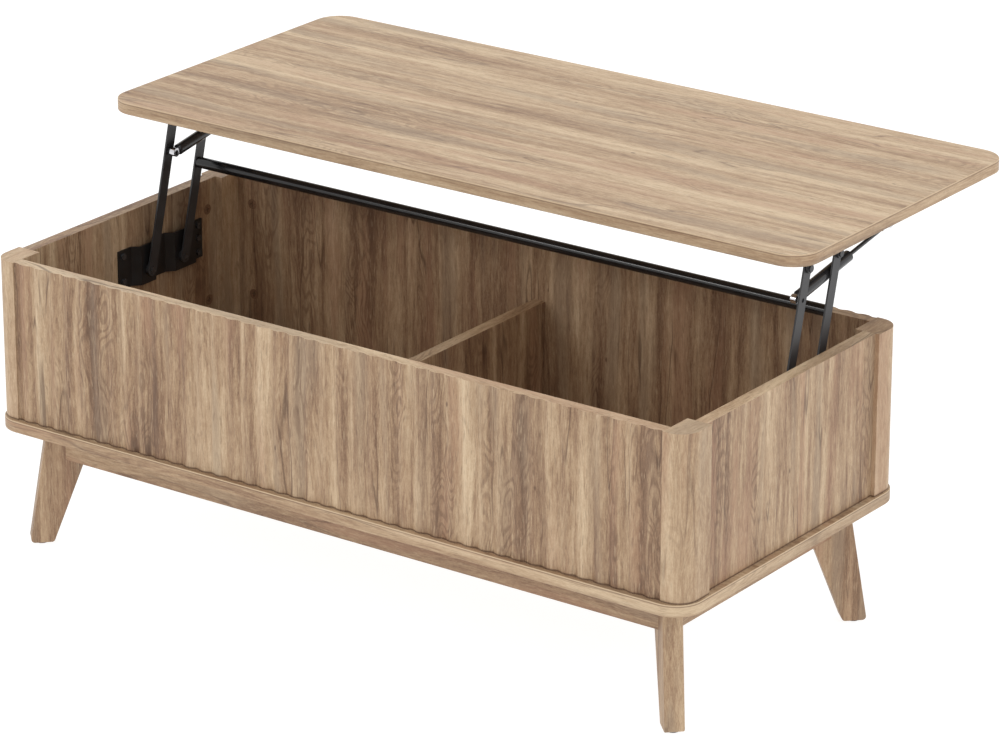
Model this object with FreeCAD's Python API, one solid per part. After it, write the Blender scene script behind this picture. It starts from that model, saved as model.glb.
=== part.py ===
"""Lift top coffee table, raised: a storage box on splayed legs under a top that swings up and
forward on two parallel-arm hinges.

Millimetres. X runs along the long sides, -Y is the near long side, +Y is the side the top moves to,
+Z is up. The origin is on the floor under the middle of the whole raised table.
"""
import FreeCAD
import Part
import math
import os

# ---- top and bottom boards -------------------------------------------------------------------
BOARD_L = 1100.0
BOARD_W = 500.0
BOARD_T = 16.0
BOARD_CORNER_R = 38.0
BOARD_ARRIS_R = 1.0

# ---- storage box -----------------------------------------------------------------------------
LEG_TOP_Z = 168.0
FLOOR_Z = LEG_TOP_Z + BOARD_T
RIM_Z = 404.0
PANEL_T = 18.0
PANEL_IN_Y = 225.0
SIDE_IN_X = 522.5
POST_IN_X = 511.0
POST_OUT_X = 546.5
POST_OUT_Y = 243.5
POST_END_Y = 190.0
POST_CORNER_R = 27.5
DIVIDER_ARRIS_R = 0.8
DIVIDER_TOP_Z = 323.5
WAVE_CRESTS = 41
WAVE_CREST_W = 16.0
WAVE_DEPTH = 3.0

# ---- underframe ------------------------------------------------------------------------------
LEG_T = 25.5
GLIDE_T = 2.0
GLIDE_R = 9.0
LEG_OUT_TOP = 495.5
LEG_IN_TOP = 427.2
LEG_OUT_FOOT = 522.8
LEG_IN_FOOT = 491.2
LEG_DIAGONAL_X = 300.0
LEG_FOOT_R = 5.0
LEG_ARRIS_R = 1.5
APRON_INSET = 57.0
APRON_T = 18.0
APRON_BOTTOM_Z = 119.5
BLOCK_T = 20.0
BLOCK_BOTTOM_Z = 128.0
LEG_BOLT_Z = 148.0
LEG_BOLT_R = 4.0
LEG_BOLT_GRIP = 34.0
LEG_BOLT_TAIL = 10.0
LEG_NUT_ACROSS = 13.0
LEG_NUT_T = 6.0

# ---- joinery ---------------------------------------------------------------------------------
JOINT_Z = (229.0, 361.0)
DOWEL_Z = 295.0
DOWEL_R = 4.0
DOWEL_HALF_L = 14.0
CAM_R = 7.5
CAM_T = 11.5
CAM_SETBACK = 25.0
CAM_SIDE_SETBACK = 18.5
CAM_SLOT_W = 1.6
CAM_SLOT_L = 8.0
CAM_SLOT_D = 2.0
CAM_BOLT_R = 3.0
CAM_BOLT_POST_L = 10.0
FIT_GAP = 0.1
BASE_SCREW_R = 3.4
BASE_SCREW_HEAD_R = 5.0
BASE_SCREW_HEAD_T = 4.0
BASE_SCREW_L = 48.0
BASE_SCREW_X = (-380.0, -130.0, 130.0, 380.0)
BASE_SCREW_Y = (-110.0, 110.0)

# ---- lift mechanism: distances from the side panel's inner face, then side-view places -------
ARM_L = 205.0
ARM_W = 16.5
ARM_LEAN_DEG = 14.5
ARM_CLOSED_DEG = 16.87
ARM_IN = 16.1
ARM_T = 2.5
PIVOT_FRONT_Y = 30.5
PIVOT_SPACING = 70.2
PIVOT_Z = 317.0
PIVOT_R = 3.0
PIVOT_FIT = 0.06
RIVET_HEAD_R = 4.5
RIVET_HEAD_T = 0.6
RIVET_BACK_T = 2.0
RIVET_GAP = 0.3
WASHER_R = 7.5
TOP_WASHER_T = 0.9
CROSSBAR_AT = 130.5
CROSSBAR_R = 7.75
CROSSBAR_WALL = 1.5
SHEET_T = 2.5
BRACKET_DEPTH = 9.5
BRACKET_Z0 = 298.0
BRACKET_Z1 = 353.5
BRACKET_PATH = ((0, -21), (0, 6), (1, 14), (1, 44), (0, 52), (0, 77), (1, 85), (1, 129), (0, 137),
                (0, 156))
WALL_SCREWS = ((-12, 345), (-12, 309), (147, 345), (147, 327), (147, 306))
SCREW_R = 2.0
SCREW_HEAD_R = 4.5
SCREW_HEAD_T = 2.4
SCREW_L = 14.0
RAIL_FRONT = -185.0
RAIL_BACK = 62.0
RAIL_STRIP_H = 20.0
RAIL_FLANGE_W = 27.0
RAIL_LOBE_R = 6.5
RAIL_TAB_R = 8.0
RAIL_DROP = 28.5
RAIL_SCREW_Y = (-178.0, -130.0, -60.0, -10.0, 50.0)
RAIL_SCREW_OFF = 12.0

# ---- gas struts --------------------------------------------------------------------------------
STRUT_AT = 164.0
STRUT_OFF = 27.4
STRUT_END_Y = 290.0
STRUT_END_Z = 514.0
STRUT_R = 7.5
STRUT_BORE_R = 6.0
STRUT_START = 8.5
STRUT_STOP = 124.0
STRUT_CAP = 9.0
STRUT_NECK_R = 3.6
ROD_R = 2.75
ROD_FIT = 0.06
ROD_SLEEVE_L = 18.0
PISTON_R = 5.9
PISTON_T = 6.0
PISTON_AT = 110.0
BALL_R = 4.0
BALL_CUP_R = 4.35
SOCKET_R = 6.0
SOCKET_HALF = 4.0
SOCKET_MOUTH_R = 3.3
SOCKET_NECK_START = 4.6
STUD_NECK_R = 2.9
STUD_SINK = 1.5
STUD_KEY_R = 1.8
STUD_KEY_D = 3.0
HEX_ACROSS = 10.0
HEX_T = 2.5
NUT_T = 4.0

# ---- derived values ------------------------------------------------------------------------------
LEAN = math.radians(ARM_LEAN_DEG)
CLOSED = math.radians(ARM_CLOSED_DEG)
LIFT_SHIFT = ARM_L * (math.sin(LEAN) + math.cos(CLOSED))
BOX_Y = -LIFT_SHIFT / 2.0
TOP_Y = LIFT_SHIFT / 2.0
TOP_PIVOT_Z = PIVOT_Z + ARM_L * math.cos(LEAN)
TOP_Z0 = TOP_PIVOT_Z + RAIL_DROP
PANEL_HALF_L = POST_IN_X
ARM_OUT = ARM_IN + ARM_T
BOSS_FACE = BRACKET_DEPTH + SHEET_T
RAIL_OUT = ARM_IN - RIVET_GAP - TOP_WASHER_T
RAIL_IN = RAIL_OUT - SHEET_T
TAB_FAR = RAIL_IN + RAIL_FLANGE_W
TAB_NEAR = TAB_FAR - SHEET_T
ROOT2 = math.sqrt(2.0)


def vec(x, y, z):
    return FreeCAD.Vector(x, y, z)


def block(x0, x1, y0, y1, z0, z1):
    """A straight-sided block between two corners, in any order."""
    low = vec(min(x0, x1), min(y0, y1), min(z0, z1))
    return Part.makeBox(abs(x1 - x0), abs(y1 - y0), abs(z1 - z0), low)


def plan_prism(points, z0, z1):
    """A closed outline in plan, raised from z0 to z1."""
    wire = Part.makePolygon([vec(x, y, z0) for x, y in points + points[:1]])
    return Part.Face(wire).extrude(vec(0, 0, z1 - z0))


def side_prism(points, x0, x1):
    """A closed outline in side view, given as (y, z), carried from x0 to x1."""
    wire = Part.makePolygon([vec(x0, y, z) for y, z in points + points[:1]])
    return Part.Face(wire).extrude(vec(x1 - x0, 0, 0))


def bar(radius, start, end):
    """A round bar between two points."""
    run = end - start
    return Part.makeCylinder(radius, run.Length, start, run)


def soften(shape, radius, wanted):
    """Round the edges that the test picks out."""
    edges = [edge for edge in shape.Edges if wanted(edge)]
    return shape.makeFillet(radius, edges)


def lies_at(edge, height):
    """Whether an edge runs level at the given height."""
    box = edge.BoundBox
    return abs(box.ZMin - height) < 1e-3 and abs(box.ZMax - height) < 1e-3


def is_upright(edge):
    box = edge.BoundBox
    return box.XLength < 1e-3 and box.YLength < 1e-3


def save(name, shapes):
    """Write one node: a single solid, or a group of separate solids."""
    solids = shapes if isinstance(shapes, list) else [shapes]
    out = solids[0] if len(solids) == 1 else Part.makeCompound(solids)
    out.exportStep(os.path.join("parts", name + ".step"))


# ---- boards --------------------------------------------------------------------------------------
def rounded_board(y_mid, z0):
    """A board with large rounded corners and softened arrises."""
    z1 = z0 + BOARD_T
    board = block(-BOARD_L / 2, BOARD_L / 2, y_mid - BOARD_W / 2, y_mid + BOARD_W / 2, z0, z1)
    board = soften(board, BOARD_CORNER_R, is_upright)
    return soften(board, BOARD_ARRIS_R, lambda edge: lies_at(edge, z0) or lies_at(edge, z1))


def rail_screw_places(side):
    return [(side * (SIDE_IN_X - RAIL_IN - RAIL_SCREW_OFF), TOP_Y + y) for y in RAIL_SCREW_Y]


def tabletop():
    top = rounded_board(TOP_Y, TOP_Z0)
    for side in (-1, 1):
        for x, y in rail_screw_places(side):
            hole = bar(SCREW_R, vec(x, y, TOP_Z0 - 1), vec(x, y, TOP_Z0 - SHEET_T + SCREW_L))
            top = top.cut(hole)
    return top


def base_screw_places():
    """Where the base board is screwed up into the panels and the divider."""
    middle = PANEL_IN_Y + PANEL_T / 2 - WAVE_DEPTH / 2
    side_x = SIDE_IN_X + PANEL_T / 2
    places = [(x, BOX_Y + sign * middle) for sign in (-1, 1) for x in BASE_SCREW_X]
    places += [(x, BOX_Y + y) for x in (-side_x, 0.0, side_x) for y in BASE_SCREW_Y]
    return places


def bottom_board():
    board = rounded_board(BOX_Y, LEG_TOP_Z)
    for x, y in base_screw_places():
        shank = bar(BASE_SCREW_R + FIT_GAP, vec(x, y, LEG_TOP_Z - 1), vec(x, y, FLOOR_Z + 1))
        recess_top = LEG_TOP_Z + BASE_SCREW_HEAD_T + FIT_GAP
        recess = bar(BASE_SCREW_HEAD_R + FIT_GAP, vec(x, y, LEG_TOP_Z - 1), vec(x, y, recess_top))
        board = board.cut(shank).cut(recess)
    return board


def base_screws():
    screws = []
    for x, y in base_screw_places():
        head_top = LEG_TOP_Z + BASE_SCREW_HEAD_T
        head = bar(BASE_SCREW_HEAD_R, vec(x, y, LEG_TOP_Z), vec(x, y, head_top))
        shank = bar(BASE_SCREW_R, vec(x, y, head_top), vec(x, y, LEG_TOP_Z + BASE_SCREW_L))
        screws.append(head.fuse(shank).removeSplitter())
    return screws


def drilled_for_base(panel):
    """Blind holes in a panel's lower edge for the base screws."""
    for x, y in base_screw_places():
        top = vec(x, y, LEG_TOP_Z + BASE_SCREW_L + FIT_GAP)
        panel = panel.cut(bar(BASE_SCREW_R + FIT_GAP, vec(x, y, FLOOR_Z - 1), top))
    return panel


# ---- box -----------------------------------------------------------------------------------------
def wave_edges(y_out, sign):
    """The reeded face in plan: broad convex crests and narrow hollows, all tangent arcs."""
    hollow_w = (2 * PANEL_HALF_L - WAVE_CRESTS * WAVE_CREST_W) / (WAVE_CRESTS + 1)
    turn = 2 * math.atan(2 * WAVE_DEPTH / (WAVE_CREST_W + hollow_w))
    crest_rise = WAVE_CREST_W / 2 * math.tan(turn / 2)
    hollow_drop = hollow_w / 2 * math.tan(turn / 2)
    joint_y = y_out - sign * crest_rise
    edges = []
    x = -PANEL_HALF_L
    for step in range(2 * WAVE_CRESTS + 1):
        is_crest = step % 2 == 1
        width = WAVE_CREST_W if is_crest else hollow_w
        bulge = sign * (crest_rise if is_crest else -hollow_drop)
        start = vec(x, joint_y, FLOOR_Z)
        middle = vec(x + width / 2, joint_y + bulge, FLOOR_Z)
        end = vec(x + width, joint_y, FLOOR_Z)
        edges.append(Part.Arc(start, middle, end).toShape())
        x += width
    return edges, joint_y


def reeded_panel(sign):
    """The long panel on the near (-1) or far (+1) side."""
    inner_y = BOX_Y + sign * PANEL_IN_Y
    edges, joint_y = wave_edges(BOX_Y + sign * POST_OUT_Y, sign)
    left = -PANEL_HALF_L
    right = PANEL_HALF_L
    corners = [vec(right, joint_y, FLOOR_Z), vec(right, inner_y, FLOOR_Z),
               vec(left, inner_y, FLOOR_Z), vec(left, joint_y, FLOOR_Z)]
    edges += [Part.LineSegment(corners[i], corners[i + 1]).toShape() for i in range(3)]
    panel = Part.Face(Part.Wire(edges)).extrude(vec(0, 0, RIM_Z - FLOOR_Z))
    panel = drilled_for_base(panel)
    for side in (-1, 1):
        panel = drilled_for_joint(panel, long_joint(side, sign))
    return panel


def side_panel(side):
    panel = block(side * SIDE_IN_X, side * (SIDE_IN_X + PANEL_T), BOX_Y - POST_END_Y,
                  BOX_Y + POST_END_Y, FLOOR_Z, RIM_Z)
    panel = drilled_for_base(panel)
    for sign in (-1, 1):
        panel = drilled_for_joint(panel, short_joint(side, sign))
    for screw in wall_screws(side):
        panel = panel.cut(screw)
    return panel


def corner_post(side, sign):
    """A corner post, rounded on the outside, with the panel joints drilled."""
    post = block(side * POST_IN_X, side * POST_OUT_X, BOX_Y + sign * POST_END_Y,
                 BOX_Y + sign * POST_OUT_Y, FLOOR_Z, RIM_Z)
    outer = vec(side * POST_OUT_X, BOX_Y + sign * POST_OUT_Y, 0)

    def at_outer_corner(edge):
        middle = edge.BoundBox.Center
        return is_upright(edge) and math.hypot(middle.x - outer.x, middle.y - outer.y) < 1e-3

    post = soften(post, POST_CORNER_R, at_outer_corner)
    for joint in (long_joint(side, sign), short_joint(side, sign)):
        post = drilled_for_joint(post, joint)
    return post


def centre_divider():
    half = PANEL_T / 2
    divider = block(-half, half, BOX_Y - PANEL_IN_Y, BOX_Y + PANEL_IN_Y, FLOOR_Z, DIVIDER_TOP_Z)
    divider = soften(divider, DIVIDER_ARRIS_R, lambda edge: lies_at(edge, DIVIDER_TOP_Z)
                     and edge.BoundBox.YLength > PANEL_T)
    return drilled_for_base(divider)


# ---- cams, cam bolts and dowels --------------------------------------------------------------------
def long_joint(side, sign):
    """Joint between a long panel and a post: face point, way into the post, way out of the cam."""
    depth = PANEL_IN_Y + (PANEL_T - WAVE_DEPTH) / 2
    face = vec(side * POST_IN_X, BOX_Y + sign * depth, 0)
    cam_mouth = vec(side * (POST_IN_X - CAM_SETBACK), BOX_Y + sign * PANEL_IN_Y, 0)
    return face, vec(side, 0, 0), cam_mouth, vec(0, sign, 0)


def short_joint(side, sign):
    """Joint between a side panel and a post."""
    depth = SIDE_IN_X + PANEL_T / 2
    face = vec(side * depth, BOX_Y + sign * POST_END_Y, 0)
    cam_mouth = vec(side * SIDE_IN_X, BOX_Y + sign * (POST_END_Y - CAM_SIDE_SETBACK), 0)
    return face, vec(0, sign, 0), cam_mouth, vec(side, 0, 0)


def all_joints():
    pairs = [(side, sign) for side in (-1, 1) for sign in (-1, 1)]
    return [long_joint(*pair) for pair in pairs] + [short_joint(*pair) for pair in pairs]


def cam_bolt(joint, z, gap=0.0):
    face, way, cam_mouth, _ = joint
    reach = (face - cam_mouth).dot(way)
    start = face - way * (reach - CAM_R - FIT_GAP) + vec(0, 0, z)
    return bar(CAM_BOLT_R + gap, start, face + way * (CAM_BOLT_POST_L + gap) + vec(0, 0, z))


def cam(joint, z, gap=0.0):
    """A cam disc set flush in the panel's inner face, with a cross slot."""
    _, _, cam_mouth, inward = joint
    mouth = cam_mouth + vec(0, 0, z)
    disc = bar(CAM_R + gap, mouth, mouth + inward * (CAM_T + gap))
    if gap:
        return disc
    half_l = CAM_SLOT_L / 2
    half_w = CAM_SLOT_W / 2
    deep = inward * CAM_SLOT_D
    across = vec(abs(inward.y), abs(inward.x), 0)
    for long_way, short_way in ((across * half_l, half_w), (across * half_w, half_l)):
        low = mouth - long_way - vec(0, 0, short_way)
        high = mouth + long_way + vec(0, 0, short_way) + deep
        disc = disc.cut(block(low.x, high.x, low.y, high.y, low.z, high.z))
    return disc


def dowel(joint, gap=0.0):
    face, way, _, _ = joint
    middle = face + vec(0, 0, DOWEL_Z)
    half = way * (DOWEL_HALF_L + gap)
    return bar(DOWEL_R + gap, middle - half, middle + half)


def drilled_for_joint(panel, joint):
    for z in JOINT_Z:
        panel = panel.cut(cam(joint, z, FIT_GAP)).cut(cam_bolt(joint, z, FIT_GAP))
    return panel.cut(dowel(joint, FIT_GAP))


# ---- underframe --------------------------------------------------------------------------------------
def diagonal_point(side, sign, out, across, z):
    """A point by its distance out along a corner's diagonal and its offset across it."""
    x = (out + across) / ROOT2 + LEG_DIAGONAL_X / 2
    y = (out - across) / ROOT2 - LEG_DIAGONAL_X / 2
    return vec(side * x, BOX_Y + sign * y, z)


def leg(side, sign):
    """A splayed leg that tapers in the corner's diagonal plane."""
    profile = [(LEG_IN_TOP, LEG_TOP_Z), (LEG_OUT_TOP, LEG_TOP_Z), (LEG_OUT_FOOT, GLIDE_T),
               (LEG_IN_FOOT, GLIDE_T)]
    half = LEG_T / 2
    points = [diagonal_point(side, sign, out, -half, z) for out, z in profile + profile[:1]]
    through = diagonal_point(side, sign, 0, half, 0) - diagonal_point(side, sign, 0, -half, 0)
    body = Part.Face(Part.makePolygon(points)).extrude(through)

    def at_foot(edge):
        return lies_at(edge, GLIDE_T) and abs(edge.Length - LEG_T) < 1e-3

    def along(edge):
        return edge.BoundBox.ZLength > LEG_TOP_Z / 2

    body = soften(body, LEG_FOOT_R, at_foot)
    body = soften(body, LEG_ARRIS_R, along)
    return body.cut(leg_bolt(side, sign, FIT_GAP))


def leg_bolt(side, sign, gap=0.0):
    """The bolt that draws a leg against its corner block, with a hex nut inside the frame."""
    inner = LEG_IN_TOP - BLOCK_T
    start = diagonal_point(side, sign, inner, 0, LEG_BOLT_Z)
    end = diagonal_point(side, sign, LEG_IN_TOP + LEG_BOLT_GRIP, 0, LEG_BOLT_Z)
    run = (end - start).normalize()
    shank = bar(LEG_BOLT_R + gap, start - run * LEG_BOLT_TAIL, end + run * gap)
    if gap:
        return shank
    nut = hex_nut(start - run * LEG_NUT_T, run, LEG_NUT_ACROSS, LEG_NUT_T)
    return shank.fuse(nut).removeSplitter()


def hex_nut(base, way, across_flats, thickness):
    """A hexagonal prism on a point, standing along a direction."""
    circum = across_flats / math.sqrt(3.0)
    side_way = way.cross(vec(0, 0, 1))
    if side_way.Length < 1e-6:
        side_way = vec(1, 0, 0)
    side_way.normalize()
    up_way = side_way.cross(way)
    points = []
    for corner in range(7):
        angle = math.radians(60.0 * corner)
        points.append(base + side_way * (circum * math.cos(angle)) + up_way * (circum * math.sin(angle)))
    return Part.Face(Part.makePolygon(points)).extrude(way * thickness)


def leg_glide(side, sign):
    middle = (LEG_OUT_FOOT + LEG_IN_FOOT) / 2
    return bar(GLIDE_R, diagonal_point(side, sign, middle, 0, 0),
               diagonal_point(side, sign, middle, 0, GLIDE_T))


def corner_block(side, sign):
    """A block across the corner of the aprons, bolted to the leg."""
    inner_x = BOARD_L / 2 - APRON_INSET - APRON_T
    inner_y = BOARD_W / 2 - APRON_INSET - APRON_T
    front = LEG_IN_TOP * ROOT2
    back = (LEG_IN_TOP - BLOCK_T) * ROOT2
    outline = [(inner_x, front - inner_x), (front - inner_y, inner_y),
               (back - inner_y, inner_y), (inner_x, back - inner_x)]
    points = [(side * x, BOX_Y + sign * y) for x, y in outline]
    solid = plan_prism(points, BLOCK_BOTTOM_Z, LEG_TOP_Z)
    return solid.cut(leg_bolt(side, sign, FIT_GAP))


def long_apron(sign):
    """An apron along a long side, mitred against the legs' side faces."""
    outer_y = BOARD_W / 2 - APRON_INSET
    inner_y = outer_y - APRON_T
    leg_face = LEG_DIAGONAL_X - LEG_T / 2 * ROOT2
    points = [(x * (leg_face + y), BOX_Y + sign * y) for x, y in
              ((-1, outer_y), (1, outer_y), (1, inner_y), (-1, inner_y))]
    return plan_prism(points, APRON_BOTTOM_Z, LEG_TOP_Z)


def short_apron(side):
    """An apron along a short side, mitred against the legs' other side faces."""
    outer_x = BOARD_L / 2 - APRON_INSET
    inner_x = outer_x - APRON_T
    leg_face = LEG_DIAGONAL_X + LEG_T / 2 * ROOT2
    points = [(side * x, BOX_Y + y * (x - leg_face)) for x, y in
              ((outer_x, -1), (outer_x, 1), (inner_x, 1), (inner_x, -1))]
    return plan_prism(points, APRON_BOTTOM_Z, LEG_TOP_Z)


# ---- lift mechanism ------------------------------------------------------------------------------------
def station(side, off):
    """The X of a place measured inwards from a side panel's inner face."""
    return side * (SIDE_IN_X - off)


def peg(side, off0, off1, y, z, radius):
    """A round peg across the mechanism between two stations."""
    return bar(radius, vec(station(side, off0), y, z), vec(station(side, off1), y, z))


def ring(side, off0, off1, y, z, outer, inner):
    return peg(side, off0, off1, y, z, outer).cut(peg(side, off0, off1, y, z, inner))


def lower_pivots():
    first = BOX_Y + PIVOT_FRONT_Y
    return [(first, PIVOT_Z), (first + PIVOT_SPACING, PIVOT_Z)]


def along_arm(pivot, distance):
    return (pivot[0] + distance * math.sin(LEAN), pivot[1] + distance * math.cos(LEAN))


def upper_pivots():
    return [along_arm(pivot, ARM_L) for pivot in lower_pivots()]


def strut_foot():
    return along_arm(lower_pivots()[0], STRUT_AT)


def strut_head():
    return (BOX_Y + STRUT_END_Y, STRUT_END_Z)


def wall_bracket(side):
    """A pressed steel bracket: screwed flat to the panel, with two raised seats for the arms."""
    near = [(BRACKET_DEPTH * rise, y) for rise, y in BRACKET_PATH]
    mitre = SHEET_T * math.tan(math.radians(22.5))
    far = []
    for index, (depth, y) in enumerate(near):
        before = near[max(index - 1, 0)][0]
        after = near[min(index + 1, len(near) - 1)][0]
        turn = (after > depth) - (after < depth) - (depth > before) + (depth < before)
        far.append((depth + SHEET_T, y - turn * mitre))
    outline = near + far[::-1]
    points = [(station(side, depth), BOX_Y + y) for depth, y in outline]
    bracket = plan_prism(points, BRACKET_Z0, BRACKET_Z1)
    for y, z in lower_pivots():
        bracket = bracket.cut(peg(side, -1, BOSS_FACE + 1, y, z, PIVOT_R))
    for screw in wall_screws(side):
        bracket = bracket.cut(screw)
    return bracket


def wall_screws(side):
    """Pan-head screws through the bracket's flanges into the side panel."""
    screws = []
    for y, z in WALL_SCREWS:
        head = peg(side, SHEET_T, SHEET_T + SCREW_HEAD_T, BOX_Y + y, z, SCREW_HEAD_R)
        shank = peg(side, SHEET_T, SHEET_T - SCREW_L, BOX_Y + y, z, SCREW_R)
        screws.append(head.fuse(shank).removeSplitter())
    return screws


def lower_rivets(side):
    """Rivets that the arms turn on, headed behind the bracket's seats and over the arms."""
    rivets = []
    for y, z in lower_pivots():
        shank = peg(side, BRACKET_DEPTH - RIVET_BACK_T, ARM_OUT + RIVET_GAP + RIVET_HEAD_T, y, z, PIVOT_R)
        back = peg(side, BRACKET_DEPTH - RIVET_BACK_T, BRACKET_DEPTH, y, z, RIVET_HEAD_R)
        face = ARM_OUT + RIVET_GAP
        front = peg(side, face, face + RIVET_HEAD_T, y, z, RIVET_HEAD_R)
        rivets.append(shank.fuse([back, front]).removeSplitter())
    return rivets


def lower_washers(side):
    return [ring(side, BOSS_FACE, ARM_IN - RIVET_GAP, y, z, WASHER_R, PIVOT_R) for y, z in lower_pivots()]


def upper_rivets(side):
    """Rivets held in the top rail, with the arms' upper ends turning on them."""
    rivets = []
    for y, z in upper_pivots():
        face = ARM_OUT + RIVET_GAP
        shank = peg(side, RAIL_IN - RIVET_BACK_T, face + RIVET_HEAD_T, y, z, PIVOT_R)
        back = peg(side, RAIL_IN - RIVET_BACK_T, RAIL_IN, y, z, RIVET_HEAD_R)
        front = peg(side, face, face + RIVET_HEAD_T, y, z, RIVET_HEAD_R)
        rivets.append(shank.fuse([back, front]).removeSplitter())
    return rivets


def upper_washers(side):
    return [ring(side, RAIL_OUT, ARM_IN - RIVET_GAP, y, z, RAIL_LOBE_R, PIVOT_R) for y, z in upper_pivots()]


def arm(side, pivot):
    """A flat steel arm with round ends, drilled at both pivots."""
    end = along_arm(pivot, ARM_L)
    half = ARM_W / 2
    across_y = half * math.cos(LEAN)
    across_z = half * math.sin(LEAN)
    points = [(pivot[0] - across_y, pivot[1] + across_z), (end[0] - across_y, end[1] + across_z),
              (end[0] + across_y, end[1] - across_z), (pivot[0] + across_y, pivot[1] - across_z)]
    shape = side_prism(points, station(side, ARM_IN), station(side, ARM_OUT))
    for y, z in (pivot, end):
        shape = shape.fuse(peg(side, ARM_IN, ARM_OUT, y, z, half))
    shape = shape.removeSplitter()
    for y, z in (pivot, end):
        shape = shape.cut(peg(side, ARM_IN - 1, ARM_OUT + 1, y, z, PIVOT_R + PIVOT_FIT))
    return shape


def front_arm(side):
    """The front arm also carries the strut's ball stud in a third hole."""
    y, z = strut_foot()
    return arm(side, lower_pivots()[0]).cut(peg(side, ARM_IN - 1, ARM_OUT + 1, y, z, STUD_NECK_R))


def crossbar():
    """A round tube welded between the two rear arms, so that both sides lift together."""
    y, z = along_arm(lower_pivots()[1], CROSSBAR_AT)
    left = vec(station(-1, ARM_OUT), y, z)
    right = vec(station(1, ARM_OUT), y, z)
    return bar(CROSSBAR_R, left, right).cut(bar(CROSSBAR_R - CROSSBAR_WALL, left, right))


def rail_ear(side, off0, off1, place, radius):
    """A round-ended ear of sheet, hanging from the flange around a pivot."""
    y, z = place
    web = block(station(side, off0), station(side, off1), y - radius, y + radius, z, TOP_Z0 - SHEET_T)
    return [web, peg(side, off0, off1, y, z, radius)]


def top_rail(side):
    """An angle under the top: a strip with two ears for the arms, a flange to screw up, and a tab
    bent down from the flange's far edge for the strut."""
    y0 = TOP_Y + RAIL_FRONT
    y1 = TOP_Y + RAIL_BACK
    strip = block(station(side, RAIL_IN), station(side, RAIL_OUT), y0, y1, TOP_Z0 - RAIL_STRIP_H, TOP_Z0)
    flange = block(station(side, RAIL_IN), station(side, TAB_FAR), y0, y1, TOP_Z0 - SHEET_T, TOP_Z0)
    ears = rail_ear(side, TAB_NEAR, TAB_FAR, strut_head(), RAIL_TAB_R)
    for place in upper_pivots():
        ears += rail_ear(side, RAIL_IN, RAIL_OUT, place, RAIL_LOBE_R)
    rail = strip.fuse([flange] + ears).removeSplitter()
    for y, z in upper_pivots():
        rail = rail.cut(peg(side, RAIL_IN - 1, RAIL_OUT + 1, y, z, PIVOT_R))
    y, z = strut_head()
    rail = rail.cut(peg(side, TAB_NEAR - 1, TAB_FAR + 1, y, z, STUD_NECK_R))
    for x, y in rail_screw_places(side):
        rail = rail.cut(bar(SCREW_R, vec(x, y, TOP_Z0 - SHEET_T - 1), vec(x, y, TOP_Z0 + 1)))
    return rail


def rail_screws(side):
    screws = []
    for x, y in rail_screw_places(side):
        seat = TOP_Z0 - SHEET_T
        head = bar(SCREW_HEAD_R, vec(x, y, seat - SCREW_HEAD_T), vec(x, y, seat))
        shank = bar(SCREW_R, vec(x, y, seat), vec(x, y, seat + SCREW_L))
        screws.append(head.fuse(shank).removeSplitter())
    return screws


def head_nut(side):
    """The nut on the tab's far face, with the threaded end that fills the tab's hole."""
    y, z = strut_head()
    nut = hex_nut(vec(station(side, TAB_FAR), y, z), vec(-side, 0, 0), HEX_ACROSS, NUT_T)
    return nut.fuse(peg(side, TAB_NEAR, TAB_FAR, y, z, STUD_NECK_R)).removeSplitter()


# ---- gas struts ----------------------------------------------------------------------------------------
def strut_axis():
    """Unit way from the strut's foot to its head, and the raised length."""
    foot = strut_foot()
    head = strut_head()
    run = vec(0, head[0] - foot[0], head[1] - foot[1])
    return run.normalize(), math.hypot(head[0] - foot[0], head[1] - foot[1])


def on_strut(side, distance):
    way, _ = strut_axis()
    y, z = strut_foot()
    return vec(station(side, STRUT_OFF), y, z) + way * distance


def turned(side, place, outline):
    """A solid of revolution about a pivot: (station, radius) points, with a third value where the
    next edge is the far half of a ball of that radius about the strut's line."""
    y, z = place

    def at(off, radius):
        return vec(station(side, off), y, z + radius)

    edges = []
    for index, point in enumerate(outline):
        start = at(point[0], point[1])
        following = outline[(index + 1) % len(outline)]
        end = at(following[0], following[1])
        if len(point) == 3:
            edges.append(Part.Arc(start, at(STRUT_OFF, point[2]), end).toShape())
        else:
            edges.append(Part.makeLine(start, end))
    return Part.Face(Part.Wire(edges)).revolve(at(STRUT_OFF, 0), vec(1, 0, 0), 360)


def half_chord(ball_r, neck_r):
    """How far from a ball's centre a coaxial neck meets it."""
    return math.sqrt(ball_r ** 2 - neck_r ** 2)


def ball_socket(side, place, cup_r):
    """A round eye over a ball, open on both sides."""
    lip = half_chord(cup_r, SOCKET_MOUTH_R)
    near = STRUT_OFF - SOCKET_HALF
    far = STRUT_OFF + SOCKET_HALF
    outline = [(near, SOCKET_MOUTH_R), (STRUT_OFF - lip, SOCKET_MOUTH_R, cup_r),
               (STRUT_OFF + lip, SOCKET_MOUTH_R), (far, SOCKET_MOUTH_R), (far, SOCKET_R),
               (near, SOCKET_R)]
    return turned(side, place, outline)


def ball_stud(side, place, start):
    """A ball with a coaxial neck from a station outside the eye, flat on its far side."""
    meet = half_chord(BALL_R, STUD_NECK_R)
    way = 1 if STRUT_OFF > start else -1
    root = STRUT_OFF - way * meet
    tip = STRUT_OFF + way * meet
    outline = [(start, 0), (start, STUD_NECK_R), (root, STUD_NECK_R, BALL_R), (tip, STUD_NECK_R),
               (tip, STUD_KEY_R), (tip - way * STUD_KEY_D, STUD_KEY_R), (tip - way * STUD_KEY_D, 0)]
    return turned(side, place, outline)


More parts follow.
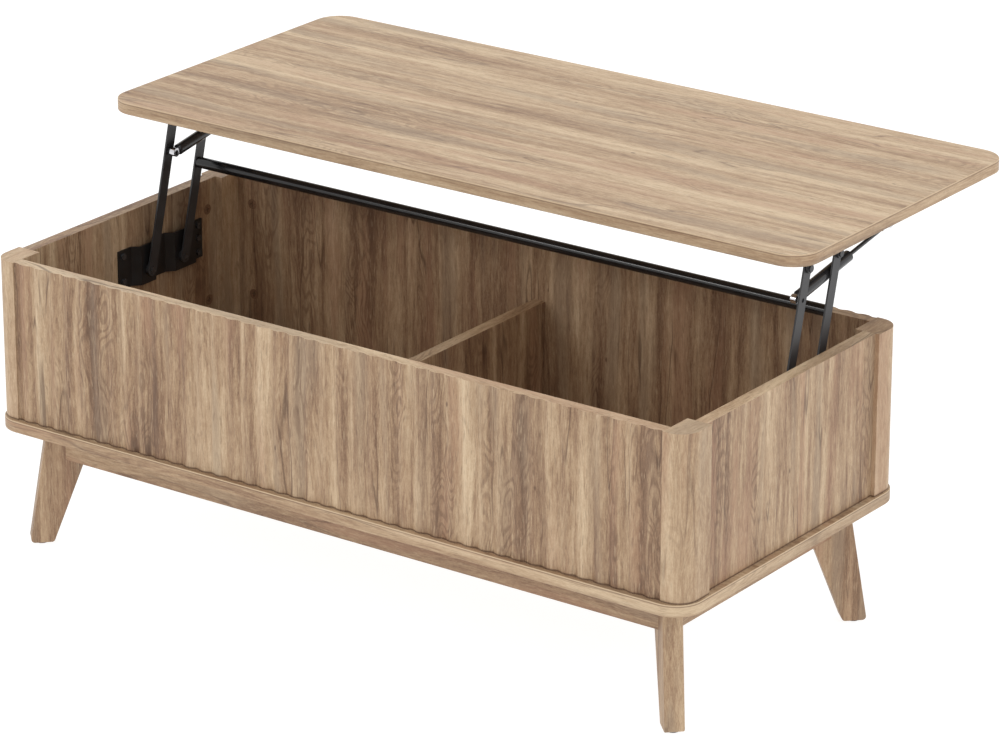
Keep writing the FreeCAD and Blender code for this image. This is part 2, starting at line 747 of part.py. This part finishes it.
def strut_socket(side):
    """The eye on the strut's foot, with a neck into the cylinder's end."""
    eye = ball_socket(side, strut_foot(), BALL_CUP_R)
    neck = bar(STRUT_NECK_R, on_strut(side, SOCKET_NECK_START), on_strut(side, STRUT_START))
    return eye.fuse(neck).removeSplitter()


def strut_cylinder(side):
    """The pressure tube, bored for the piston, with a guide at its open end."""
    body = bar(STRUT_R, on_strut(side, STRUT_START), on_strut(side, STRUT_STOP))
    bore = bar(STRUT_BORE_R, on_strut(side, STRUT_START + STRUT_CAP), on_strut(side, STRUT_STOP - STRUT_CAP))
    guide = bar(ROD_R + ROD_FIT, on_strut(side, STRUT_STOP - STRUT_CAP - 1), on_strut(side, STRUT_STOP + 1))
    return body.cut(bore).cut(guide)


def strut_rod(side):
    """The polished rod, with its piston inside the cylinder."""
    _, length = strut_axis()
    rod = bar(ROD_R, on_strut(side, PISTON_AT), on_strut(side, length - SOCKET_R))
    piston = bar(PISTON_R, on_strut(side, PISTON_AT - PISTON_T), on_strut(side, PISTON_AT))
    return rod.fuse(piston).removeSplitter()


def rod_socket(side):
    """The eye on the rod's end, with a sleeve over the rod."""
    _, length = strut_axis()
    eye = ball_socket(side, strut_head(), BALL_R)
    sleeve_end = on_strut(side, length - ROD_SLEEVE_L)
    sleeve = bar(STRUT_NECK_R, sleeve_end, on_strut(side, length - SOCKET_NECK_START))
    rod_hole = bar(ROD_R, sleeve_end, on_strut(side, length - SOCKET_R))
    return eye.fuse(sleeve.cut(rod_hole)).removeSplitter()


def lower_stud(side):
    """The stud in the front arm: hex shoulder, neck and ball."""
    y, z = strut_foot()
    stud = ball_stud(side, strut_foot(), ARM_IN + STUD_SINK)
    shoulder = hex_nut(vec(station(side, ARM_OUT), y, z), vec(-side, 0, 0), HEX_ACROSS, HEX_T)
    return stud.fuse(shoulder).removeSplitter()


def upper_stud(side):
    """This stud turns with the rod and stands a hair's breadth off the rail's tab."""
    y, z = strut_head()
    face = TAB_NEAR - RIVET_GAP
    stud = ball_stud(side, strut_head(), face)
    shoulder = hex_nut(vec(station(side, face), y, z), vec(side, 0, 0), HEX_ACROSS, HEX_T)
    return stud.fuse(shoulder).removeSplitter()


def build():
    os.makedirs("parts", exist_ok=True)
    save("tabletop", tabletop())
    save("bottom_board", bottom_board())
    save("front_panel", reeded_panel(-1))
    save("back_panel", reeded_panel(1))
    save("centre_divider", centre_divider())
    save("front_apron", long_apron(-1))
    save("back_apron", long_apron(1))
    save("base_screws", base_screws())
    save("crossbar", crossbar())
    corners = [(side, sign) for side in (-1, 1) for sign in (-1, 1)]
    save("leg_bolts", [leg_bolt(side, sign) for side, sign in corners])
    save("leg_glides", [leg_glide(side, sign) for side, sign in corners])
    save("corner_blocks", [corner_block(side, sign) for side, sign in corners])
    save("cam_locks", [cam(joint, z) for joint in all_joints() for z in JOINT_Z])
    save("cam_bolts", [cam_bolt(joint, z) for joint in all_joints() for z in JOINT_Z])
    save("dowels", [dowel(joint) for joint in all_joints()])
    for name, make in (("wall_screws", wall_screws), ("rail_screws", rail_screws),
                       ("lower_rivets", lower_rivets), ("lower_washers", lower_washers),
                       ("upper_rivets", upper_rivets), ("upper_washers", upper_washers)):
        save(name, make(-1) + make(1))
    save("strut_nuts", [head_nut(-1), head_nut(1)])
    for side, side_name in ((-1, "left"), (1, "right")):
        for sign, sign_name in ((-1, "front"), (1, "back")):
            save("post_" + sign_name + "_" + side_name, corner_post(side, sign))
            save("leg_" + sign_name + "_" + side_name, leg(side, sign))
        save(side_name + "_panel", side_panel(side))
        save(side_name + "_apron", short_apron(side))
        save("wall_bracket_" + side_name, wall_bracket(side))
        save("front_arm_" + side_name, front_arm(side))
        save("rear_arm_" + side_name, arm(side, lower_pivots()[1]))
        save("top_rail_" + side_name, top_rail(side))
        save("strut_cylinder_" + side_name, strut_cylinder(side))
        save("strut_socket_" + side_name, strut_socket(side))
        save("strut_stud_" + side_name, lower_stud(side))
        save("strut_rod_" + side_name, strut_rod(side))
        save("rod_socket_" + side_name, rod_socket(side))
        save("rod_stud_" + side_name, upper_stud(side))


build()
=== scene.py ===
import math

import bpy
from mathutils import Matrix, Vector


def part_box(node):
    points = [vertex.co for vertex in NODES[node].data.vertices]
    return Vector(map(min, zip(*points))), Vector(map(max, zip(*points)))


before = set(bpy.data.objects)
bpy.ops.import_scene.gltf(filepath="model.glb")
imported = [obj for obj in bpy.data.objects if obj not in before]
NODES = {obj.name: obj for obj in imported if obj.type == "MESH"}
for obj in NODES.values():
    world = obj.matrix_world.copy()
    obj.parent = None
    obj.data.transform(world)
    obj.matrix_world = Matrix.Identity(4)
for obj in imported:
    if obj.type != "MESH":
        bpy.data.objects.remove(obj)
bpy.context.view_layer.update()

# ---- camera, lights and floor --------------------------------------------------------------------
CAMERA_PLACE = Vector((3.4174, -4.72875, 2.4692))
CAMERA_AZIMUTH = math.radians(35.781)
CAMERA_ELEVATION = math.radians(20.844)
CAMERA_ROLL = math.radians(0.043)
LENS_MM = 170.71
SENSOR_MM = 36.0
FRAME_SHIFT = 0.0005  # of the frame's width
CLIP_END = 60.0

# name: (place, size, watts, colour); each light faces AIM
AIM = Vector((0.0, 0.0, 0.3))
LIGHTS = {
    "key": ((-2.2, -3.4, 2.6), 1.0, 14.0, (1.0, 0.99, 0.98)),
    "side": ((3.6, -0.6, 2.4), 1.0, 8.0, (1.0, 0.99, 0.98)),
    "top": ((0.2, 0.6, 3.6), 1.6, 10.0, (1.0, 1.0, 1.0)),
}
WORLD_STRENGTH = 1.0
WHITE = (1, 1, 1, 1)
FLOOR_HALF = 20.0
FLOOR_DROP = 0.0005
FLOOR_COLOUR = (0.25, 0.25, 0.25, 1)
FLOOR_GLOW = 0.9


def make_camera():
    back = Vector((math.sin(CAMERA_AZIMUTH) * math.cos(CAMERA_ELEVATION),
                   -math.cos(CAMERA_AZIMUTH) * math.cos(CAMERA_ELEVATION),
                   math.sin(CAMERA_ELEVATION)))
    right = Vector((math.cos(CAMERA_AZIMUTH), math.sin(CAMERA_AZIMUTH), 0.0))
    up = back.cross(right)
    turn = Matrix((right, up, back)).transposed() @ Matrix.Rotation(CAMERA_ROLL, 3, "Z")
    data = bpy.data.cameras.new("camera")
    data.lens = LENS_MM
    data.sensor_width = SENSOR_MM
    data.clip_end = CLIP_END
    data.shift_x = -FRAME_SHIFT
    data.shift_y = FRAME_SHIFT
    data.dof.use_dof = False
    camera = bpy.data.objects.new("camera", data)
    camera.matrix_world = Matrix.Translation(CAMERA_PLACE) @ turn.to_4x4()
    bpy.context.collection.objects.link(camera)
    bpy.context.scene.camera = camera


def make_lights():
    for name, (place, size, watts, colour) in LIGHTS.items():
        data = bpy.data.lights.new(name, "AREA")
        data.shape = "DISK"
        data.size = size
        data.energy = watts
        data.color = colour
        light = bpy.data.objects.new(name, data)
        light.location = place
        light.rotation_euler = (AIM - Vector(place)).to_track_quat("-Z", "Y").to_euler()
        bpy.context.collection.objects.link(light)


def make_stage():
    half = FLOOR_HALF
    corners = [(-half, -half, 0), (half, -half, 0), (half, half, 0), (-half, half, 0)]
    mesh = bpy.data.meshes.new("floor")
    mesh.from_pydata(corners, [], [(0, 1, 2, 3)])
    floor = bpy.data.objects.new("floor", mesh)
    floor.location.z = -FLOOR_DROP
    bpy.context.collection.objects.link(floor)
    material, _, shader = new_material("studio_floor")
    shader.inputs["Base Color"].default_value = FLOOR_COLOUR
    shader.inputs["Roughness"].default_value = 0.9
    shader.inputs["Specular IOR Level"].default_value = 0.1
    shader.inputs["Emission Color"].default_value = WHITE
    shader.inputs["Emission Strength"].default_value = FLOOR_GLOW
    mesh.materials.append(material)
    world = bpy.data.worlds.new("studio")
    world.use_nodes = True
    background = world.node_tree.nodes["Background"]
    background.inputs["Color"].default_value = WHITE
    background.inputs["Strength"].default_value = WORLD_STRENGTH
    bpy.context.scene.world = world
    bpy.context.scene.view_settings.view_transform = "Standard"


# ---- node helpers ----------------------------------------------------------------------------------
class Graph:
    """A thin wrapper that makes node wiring short to write."""

    def __init__(self, tree):
        self.tree = tree

    def node(self, kind, **settings):
        made = self.tree.nodes.new(kind)
        for key, value in settings.items():
            setattr(made, key, value)
        return made

    def put(self, socket, value):
        if isinstance(value, bpy.types.NodeSocket):
            self.tree.links.new(value, socket)
        else:
            socket.default_value = value

    def math(self, operation, a, b=0.0, c=0.0):
        made = self.node("ShaderNodeMath", operation=operation)
        for index, value in enumerate((a, b, c)):
            self.put(made.inputs[index], value)
        return made.outputs[0]

    def product(self, first, *others):
        result = first
        for value in others:
            result = self.math("MULTIPLY", result, value)
        return result

    def dot(self, vector, way):
        made = self.node("ShaderNodeVectorMath", operation="DOT_PRODUCT")
        self.put(made.inputs[0], vector)
        made.inputs[1].default_value = way
        return made.outputs["Value"]

    def combine(self, x, y, z):
        made = self.node("ShaderNodeCombineXYZ")
        for index, value in enumerate((x, y, z)):
            self.put(made.inputs[index], value)
        return made.outputs[0]

    def scaled(self, vector, factors, shift=(0.0, 0.0, 0.0)):
        made = self.node("ShaderNodeVectorMath", operation="MULTIPLY_ADD")
        self.put(made.inputs[0], vector)
        self.put(made.inputs[1], factors)
        self.put(made.inputs[2], shift)
        return made.outputs[0]

    def noise(self, vector, scale, detail, roughness):
        made = self.node("ShaderNodeTexNoise")
        self.put(made.inputs["Vector"], vector)
        for key, value in (("Scale", scale), ("Detail", detail), ("Roughness", roughness)):
            self.put(made.inputs[key], value)
        return made.outputs["Fac"]

    def spread(self, value, low, high, to_low=0.0, to_high=1.0):
        """A smooth step from one level to another."""
        made = self.node("ShaderNodeMapRange", interpolation_type="SMOOTHSTEP")
        for index, item in enumerate((value, low, high, to_low, to_high)):
            self.put(made.inputs[index], item)
        return made.outputs[0]

    def mix(self, amount, a, b):
        made = self.node("ShaderNodeMix", data_type="RGBA")
        self.put(made.inputs["Factor"], amount)
        self.put(made.inputs[6], a)
        self.put(made.inputs[7], b)
        return made.outputs[2]

    def ramp(self, value, stops):
        made = self.node("ShaderNodeValToRGB")
        self.put(made.inputs[0], value)
        elements = made.color_ramp.elements
        while len(elements) < len(stops):
            elements.new(0.5)
        for element, (place, colour) in zip(elements, stops):
            element.position = place
            element.color = (*colour, 1)
        return made.outputs[0]

    def bump(self, height, strength, distance):
        made = self.node("ShaderNodeBump")
        made.inputs["Strength"].default_value = strength
        made.inputs["Distance"].default_value = distance
        self.put(made.inputs["Height"], height)
        return made.outputs[0]


def new_material(name):
    """A new material with its graph and its shader."""
    material = bpy.data.materials.new(name)
    material.use_nodes = True
    return material, Graph(material.node_tree), material.node_tree.nodes["Principled BSDF"]


def linear(red, green, blue):
    """A linear colour from one given on the usual 0-255 scale."""
    def one(value):
        value /= 255.0
        return value / 12.92 if value <= 0.04045 else ((value + 0.055) / 1.055) ** 2.4
    return (one(red), one(green), one(blue))


# ---- oak decor ---------------------------------------------------------------------------------------
OAK_DARK = linear(106, 78, 57)
OAK_BROWN = linear(138, 108, 82)
OAK_MID = linear(163, 134, 104)
OAK_LIGHT = linear(183, 156, 125)
OAK_PALE = linear(204, 180, 148)
OAK_LINE = linear(82, 57, 40)
OAK_GREY = linear(157, 137, 114)
OAK_PINK = linear(166, 127, 100)
OAK_STOPS = ((0.14, OAK_DARK), (0.35, OAK_BROWN), (0.53, OAK_MID), (0.71, OAK_LIGHT), (0.92, OAK_PALE))
OAK_LEVEL = 0.54
GRAIN_DEPTH = 0.0004
GRAIN_BUMP = 0.4
SPECULAR = 0.5

# A material's seed moves its decor to another part of the pattern; the faces that look the other
# way are OTHER_SEED further on.
SEED_START = (1.3, 0.0, 0.0)
SEED_STEP = (3.7, 7.9, 2.3)
OTHER_SEED = 5.0

# Plain wood: cycles of grain per metre along X, Y and Z, and how dark its grain is.
PLAIN_GRAIN = (160.0, 160.0, 12.0)
PLAIN_DARKER = 0.72


class OakGraph(Graph):
    """Layers of oak decor. A spot is (along the grain, across it, through it), in metres."""

    def __init__(self, tree, place, seed):
        super().__init__(tree)
        self.place = place
        self.seed = seed
        self.bent = self.swayed()
        self.bands = self.layer(self.bent, 1.4, 22.0, 2.0, 7.0)
        self.fibre = self.layer(self.bent, 60.0, 430.0, 2.0, 37.0, 0.6)

    def layer(self, spot, along, across, detail, shift, roughness=0.5):
        """Noise drawn out along the grain: features per metre along and across it."""
        moved = self.scaled(spot, (along, across, across), self.seed)
        moved = self.scaled(moved, (1.0, 1.0, 1.0), (shift, shift, shift))
        return self.noise(moved, 1.0, detail, roughness)

    def swing(self, value, amount):
        """A level between 0 and 1 as a swing about zero."""
        return self.math("MULTIPLY", self.math("SUBTRACT", value, 0.5), amount)

    def swayed(self):
        """The place with its grain lines swaying sideways."""
        slow = self.swing(self.layer(self.place, 4.5, 9.0, 1.0, 3.0), 0.015)
        quick = self.swing(self.layer(self.place, 28.0, 40.0, 1.0, 5.0), 0.0028)
        made = self.node("ShaderNodeVectorMath", operation="ADD")
        self.put(made.inputs[0], self.place)
        self.put(made.inputs[1], self.combine(0.0, self.math("ADD", slow, quick), 0.0))
        return made.outputs[0]

    def bare_colour(self, tone, contrast):
        """Bands, strips and streaks from dark to pale, with greyer and pinker stretches."""
        strips = self.layer(self.bent, 2.4, 62.0, 2.0, 11.0)
        streaks = self.layer(self.bent, 11.0, 170.0, 2.0, 23.0)
        speck = self.layer(self.bent, 330.0, 760.0, 1.0, 41.0)
        mottle = self.layer(self.place, 14.0, 24.0, 2.0, 43.0)
        level = 0.0
        for part, weight in ((self.bands, 0.92), (strips, 0.86), (streaks, 0.62), (mottle, 0.16)):
            level = self.math("ADD", level, self.swing(part, weight))
        level = self.math("MULTIPLY", level, contrast)
        level = self.math("ADD", level, self.swing(self.fibre, 0.50))
        level = self.math("ADD", level, self.swing(speck, 0.24))
        level = self.math("ADD", self.math("ADD", level, OAK_LEVEL), tone)
        colour = self.ramp(level, OAK_STOPS)
        hue = self.layer(self.bent, 2.6, 30.0, 1.0, 53.0)
        colour = self.mix(self.spread(hue, 0.54, 0.72, 0.0, 0.5), colour, (*OAK_GREY, 1))
        return self.mix(self.spread(hue, 0.46, 0.30, 0.0, 0.42), colour, (*OAK_PINK, 1))

    def with_rings(self, colour, figure):
        """Cathedral figure: contour lines of a slow field, in some stretches only."""
        field = self.layer(self.bent, 8.5, 33.0, 1.0, 61.0)
        rings = self.math("SINE", self.math("MULTIPLY_ADD", field, 92.0, self.swing(self.fibre, 1.6)))
        rings = self.spread(rings, -0.1, 0.95)
        stretch = self.layer(self.place, 2.4, 15.0, 1.0, 71.0)
        where = self.spread(self.math("ADD", stretch, self.swing(self.bands, -0.8)), 0.55, 0.66)
        return self.mix(self.product(rings, where, figure, 0.48), colour, (*OAK_DARK, 1))

    def marks(self, figure):
        """How much each spot is an open pore or part of a thin dark vein."""
        vein = self.math("ABSOLUTE", self.swing(self.layer(self.bent, 3.4, 38.0, 1.0, 97.0), 1.0))
        vein = self.spread(vein, 0.0, 0.02, 1.0, 0.0)
        where = self.spread(self.layer(self.place, 6.0, 20.0, 1.0, 101.0), 0.50, 0.60)
        pores = self.spread(self.layer(self.bent, 70.0, 640.0, 1.0, 83.0), 0.57, 0.70)
        marks = self.math("MAXIMUM", self.product(pores, 0.34), self.product(vein, where, 0.75))
        return self.product(marks, self.math("MULTIPLY_ADD", figure, 0.55, 0.35))

    def with_flecks(self, colour):
        """Short pale flecks."""
        flecks = self.spread(self.layer(self.bent, 60.0, 560.0, 1.0, 131.0), 0.60, 0.72)
        return self.mix(self.product(flecks, 0.30), colour, (*OAK_PALE, 1))

    def with_knots(self, colour):
        """A small dark pin knot in some cells of a loose net."""
        net = self.node("ShaderNodeTexVoronoi", feature="F1")
        self.put(net.inputs["Vector"], self.scaled(self.place, (11.0, 22.0, 22.0), self.seed))
        net.inputs["Scale"].default_value = 1.0
        knot = self.spread(net.outputs["Distance"], 0.022, 0.055, 1.0, 0.0)
        chosen = self.spread(net.outputs["Color"], 0.70, 0.73)
        return self.mix(self.product(knot, chosen, 0.7), colour, (*OAK_LINE, 1))


def oak_group():
    """The oak decor as one node group, which every oak material uses."""
    tree = bpy.data.node_groups.new("oak", "ShaderNodeTree")
    for name, kind in (("Place", "Vector"), ("Seed", "Vector"), ("Tone", "Float"),
                       ("Contrast", "Float"), ("Figure", "Float")):
        tree.interface.new_socket(name, in_out="INPUT", socket_type="NodeSocket" + kind)
    for name, kind in (("Color", "Color"), ("Roughness", "Float"), ("Height", "Float")):
        tree.interface.new_socket(name, in_out="OUTPUT", socket_type="NodeSocket" + kind)
    source = tree.nodes.new("NodeGroupInput").outputs
    figure = source["Figure"]
    g = OakGraph(tree, source["Place"], source["Seed"])
    colour = g.with_rings(g.bare_colour(source["Tone"], source["Contrast"]), figure)
    marks = g.marks(figure)
    colour = g.mix(marks, colour, (*OAK_LINE, 1))
    colour = g.with_knots(g.with_flecks(colour))
    rough = g.math("MULTIPLY_ADD", g.fibre, -0.16, 0.62)
    height = g.math("SUBTRACT", g.fibre, g.math("MULTIPLY", marks, 1.5))
    end = g.node("NodeGroupOutput")
    for index, value in enumerate((colour, rough, height)):
        g.put(end.inputs[index], value)
    return tree


OAK = oak_group()
X, Y, Z = Vector((1, 0, 0)), Vector((0, 1, 0)), Vector((0, 0, 1))

# Grain maps: the ways that run along the grain, across it and through the piece. A way shorter than
# one draws the decor out.
BOARD_GRAIN = (X, Y, Z * 0.12)
LONG_PANEL_GRAIN = (Z, X, Y * 0.1)
SIDE_PANEL_GRAIN = (Z, Y, X * 0.1)
EDGE_FOIL = (X * 0.7 + Y * 0.7, Z, X * 0.002)
LONG_RIM = (X + Y * 0.05, Y * 0.6 + X * 0.05, Z * 0.05)
SIDE_RIM = (Y + X * 0.05, X * 0.6 + Y * 0.05, Z * 0.05)


def with_arris_highlight(g, colour, drop):
    """A pale line along a board's top edge, partly a painted highlight on the rounded arris and partly a
    lighter edge-band line, and a dark one under it, by depth below the top.
    """
    # painted highlight: a pale line in the top 1.2 to 1.6 mm of the rounded edge, partly a lighter
    # edge-band line
    arris_highlight = g.product(g.spread(drop, 0.0012, 0.0016, 1.0, 0.0), g.spread(drop, 0.0, 0.0001), 0.75)
    line = g.product(g.spread(drop, 0.0012, 0.0016), g.spread(drop, 0.0026, 0.0032, 1.0, 0.0), 0.55)
    colour = g.mix(arris_highlight, colour, (*OAK_PALE, 1))
    return g.mix(line, colour, (*OAK_DARK, 1))


def oak(name, grain, seed, tone=0.0, contrast=1.0, figure=1.0, other=None, other_tone=0.0, arris=None,
        contact_shade_z=None):
    """An oak decor material. other is the grain map of the faces that look the other way: a board's
    edge, or an upright panel's rim. arris is the height of a top edge that gets a painted highlight
    line. The height given last is a panel's foot, where contact shade is painted as a dark band."""
    material, g, shader = new_material(name)
    spot = g.node("ShaderNodeTexCoord")
    place = spot.outputs["Object"]

    def decor(ways, number, shade):
        made = g.node("ShaderNodeGroup", node_tree=OAK)
        g.put(made.inputs["Place"], g.combine(*[g.dot(place, way) for way in ways]))
        made.inputs["Seed"].default_value = [a + number * b for a, b in zip(SEED_START, SEED_STEP)]
        made.inputs["Tone"].default_value = shade
        made.inputs["Contrast"].default_value = contrast
        made.inputs["Figure"].default_value = figure
        return made.outputs

    main = decor(grain, seed, tone)
    colour = main["Color"]
    if other:
        second = decor(other, seed + OTHER_SEED, other_tone)["Color"]
        level = g.math("ABSOLUTE", g.dot(spot.outputs["Normal"], Z))
        flat = g.spread(level, 0.35, 0.75)
        is_upright = grain[0].z > 0.5
        colour = g.mix(flat, colour, second) if is_upright else g.mix(flat, second, colour)
    if arris:
        colour = with_arris_highlight(g, colour, g.math("SUBTRACT", arris, g.dot(place, Z)))
    # painted contact shade: a panel or post is darkened in its lowest 3 mm, where it stands on the bottom
    # board
    if contact_shade_z:
        rise = g.math("SUBTRACT", g.dot(place, Z), contact_shade_z)
        colour = g.mix(g.spread(rise, 0.0010, 0.0030, 0.75, 0.0), colour, (*OAK_LINE, 1))
    g.put(shader.inputs["Base Color"], colour)
    g.put(shader.inputs["Roughness"], main["Roughness"])
    shader.inputs["Specular IOR Level"].default_value = SPECULAR
    g.put(shader.inputs["Normal"], g.bump(main["Height"], GRAIN_BUMP, GRAIN_DEPTH))
    return material


def dress(material, *names):
    for name in names:
        for slot in NODES[name].material_slots:
            slot.material = material


def dress_boards(top_z, base_z):
    # name, node, seed, tone, contrast, tone of the edge, height of the top edge with the painted
    # highlight line
    boards = (("oak_tabletop", "tabletop", 1.0, 0.145, 0.85, 0.15, top_z),
              ("oak_base", "bottom_board", 2.0, 0.06, 0.8, 0.08, base_z))
    for name, node, seed, tone, contrast, edge_tone, arris in boards:
        dress(oak(name, BOARD_GRAIN, seed, tone, contrast, 0.6, EDGE_FOIL, edge_tone, arris=arris), node)


def dress_panels(contact_shade_z):
    # name, grain, seed, tone, grain of the rim, tone of the rim
    panels = (("front", LONG_PANEL_GRAIN, 3.0, 0.0, LONG_RIM, 0.20),
              ("back", LONG_PANEL_GRAIN, 4.0, -0.09, LONG_RIM, 0.15),
              ("right", SIDE_PANEL_GRAIN, 5.0, 0.0, SIDE_RIM, 0.08),
              ("left", SIDE_PANEL_GRAIN, 6.0, 0.0, SIDE_RIM, 0.08))
    for name, grain, seed, tone, rim, rim_tone in panels:
        dress(oak("oak_" + name, grain, seed, tone, other=rim, other_tone=rim_tone, contact_shade_z=contact_shade_z),
              name + "_panel")
    dress(oak("oak_divider", SIDE_PANEL_GRAIN, 7.0, -0.09, other=SIDE_RIM, other_tone=0.04),
          "centre_divider")


def dress_corners(contact_shade_z):
    """Posts with upright grain, and legs with the grain along their splay."""
    # name, side, sign, tone of the leg
    corners = (("front_left", -1, -1, -0.06), ("front_right", 1, -1, 0.06), ("back_left", -1, 1, 0.0),
               ("back_right", 1, 1, -0.02))
    for index, (name, side, sign, leg_tone) in enumerate(corners):
        outward = Vector((side, sign, 0))
        across = Vector((side, -sign, 0))
        post_grain = (Z, across * 0.75, outward * 0.08)
        dress(oak("oak_post_" + name, post_grain, 8.0 + index, 0.14, 0.6, 0.3, SIDE_RIM, 0.10, contact_shade_z=contact_shade_z),
              "post_" + name)
        lean = outward.normalized()
        flat = across.normalized()
        leg_grain = ((Z - lean * 0.28).normalized(), flat + lean, lean - flat)
        dress(oak("oak_leg_" + name, leg_grain, 13.0 + index, leg_tone, 0.7, 0.3), "leg_" + name)


def dress_wood():
    top_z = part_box("tabletop")[1][2]
    base_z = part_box("bottom_board")[1][2]
    dress_boards(top_z, base_z)
    dress_panels(base_z)
    dress_corners(base_z)
    dress(oak("oak_apron_long", (X, Z, Y), 18.0, -0.08, 0.7, 0.5), "front_apron", "back_apron")
    dress(oak("oak_apron_short", (Y, Z, X), 19.0, -0.08, 0.7, 0.5), "left_apron", "right_apron")
    dress(plain_wood("pine_block", linear(205, 176, 132)), "corner_blocks")
    dress(plain_wood("beech_dowel", linear(214, 188, 150)), "dowels")


def plain_wood(name, colour):
    """Unfaced softwood or beech for the hidden pieces."""
    material, g, shader = new_material(name)
    place = g.node("ShaderNodeTexCoord").outputs["Object"]
    grain = g.spread(g.noise(g.scaled(place, PLAIN_GRAIN), 1.0, 3.0, 0.6), 0.3, 0.7)
    dark = tuple(part * PLAIN_DARKER for part in colour)
    g.put(shader.inputs["Base Color"], g.mix(grain, (*dark, 1), (*colour, 1)))
    g.put(shader.inputs["Roughness"], g.math("MULTIPLY_ADD", grain, -0.1, 0.72))
    g.put(shader.inputs["Normal"], g.bump(grain, 0.3, GRAIN_DEPTH))
    return material


# ---- metal and plastic ---------------------------------------------------------------------------------
PEEL_SCALE = 900.0
PEEL_DEPTH = 0.0002
SMUDGE_SCALE = 38.0


def coated(name, colour, roughness, bump=0.12, metallic=0.0, spread=0.08):
    """Powder coat, plating or moulded plastic: fine orange peel and uneven gloss."""
    material, g, shader = new_material(name)
    place = g.node("ShaderNodeTexCoord").outputs["Object"]
    peel = g.noise(place, PEEL_SCALE, 2.0, 0.6)
    smudge = g.spread(g.noise(place, SMUDGE_SCALE, 3.0, 0.55), 0.3, 0.7)
    lighter = tuple(min(1.0, part * 1.25 + 0.004) for part in colour)
    g.put(shader.inputs["Base Color"], g.mix(smudge, (*colour, 1), (*lighter, 1)))
    g.put(shader.inputs["Roughness"], g.math("MULTIPLY_ADD", smudge, spread, roughness))
    shader.inputs["Metallic"].default_value = metallic
    shader.inputs["Specular IOR Level"].default_value = SPECULAR
    g.put(shader.inputs["Normal"], g.bump(peel, bump, PEEL_DEPTH))
    return material


def dress_hardware():
    powder = coated("black_powder_coat", linear(44, 44, 46), 0.36)
    plate = coated("black_plate_coat", linear(19, 19, 21), 0.36)
    gloss = coated("black_bar_gloss", linear(20, 20, 22), 0.14, bump=0.02, spread=0.04)
    paint = coated("black_strut_paint", linear(42, 42, 44), 0.12, bump=0.02, spread=0.04)
    nickel = coated("bright_nickel", (0.55, 0.55, 0.57), 0.12, metallic=1.0, bump=0.03, spread=0.06)
    oiled = coated("oiled_ball_steel", (0.015, 0.015, 0.017), 0.3, bump=0.03, spread=0.06)
    zinc = coated("zinc_plate", (0.60, 0.61, 0.63), 0.34, metallic=1.0, bump=0.05)
    black_zinc = coated("black_zinc", (0.06, 0.06, 0.064), 0.18, metallic=0.5, bump=0.03)
    nylon = coated("black_nylon", linear(30, 30, 32), 0.5)
    cap = coated("brown_cap", linear(112, 84, 62), 0.45)
    glide = coated("dark_glide", linear(60, 52, 46), 0.6)
    dress(gloss, "crossbar")
    for side in ("left", "right"):
        dress(plate, "wall_bracket_" + side)
        dress(powder, "front_arm_" + side, "rear_arm_" + side, "top_rail_" + side)
        dress(paint, "strut_cylinder_" + side, "strut_rod_" + side)
        dress(nickel, "strut_socket_" + side, "rod_socket_" + side)
        dress(oiled, "strut_stud_" + side, "rod_stud_" + side)
    dress(powder, "upper_rivets")
    dress(black_zinc, "wall_screws", "rail_screws", "lower_rivets", "strut_nuts")
    dress(nylon, "lower_washers", "upper_washers")
    dress(zinc, "base_screws", "cam_bolts", "leg_bolts")
    dress(cap, "cam_locks")
    dress(glide, "leg_glides")


make_camera()
make_lights()
make_stage()
dress_wood()
dress_hardware()
